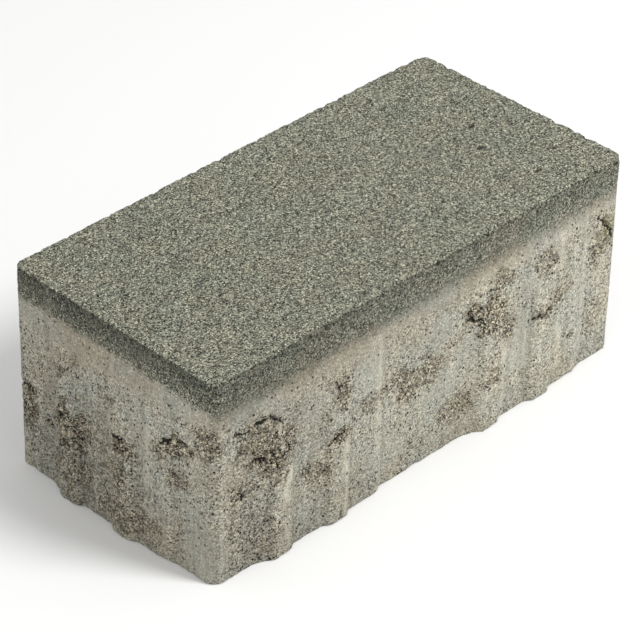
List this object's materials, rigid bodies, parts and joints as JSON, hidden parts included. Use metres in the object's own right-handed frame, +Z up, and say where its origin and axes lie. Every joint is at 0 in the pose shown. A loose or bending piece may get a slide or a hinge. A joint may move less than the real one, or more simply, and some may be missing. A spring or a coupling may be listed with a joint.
{
  "type": "concrete paving stone",
  "caption": "Rectangular pressed concrete paving stone with a thin dark facing layer over a coarse backing, and spacer ribs on low pads round its sides.",
  "frame": {"origin": "middle of the bed face, on the ground that the stone lies on", "axes": "+X along the stone's length, +Y across its width, +Z up to the wearing face"},
  "size_m": [0.202, 0.102, 0.08],
  "materials": {
    "base_concrete": "rough, open coarse concrete",
    "facing_concrete": "matt, fine sandy concrete"
  },
  "bodies": {
    "root": {"base_layer": "base_concrete", "facing_layer": "facing_concrete"}
  },
  "joints": []
}
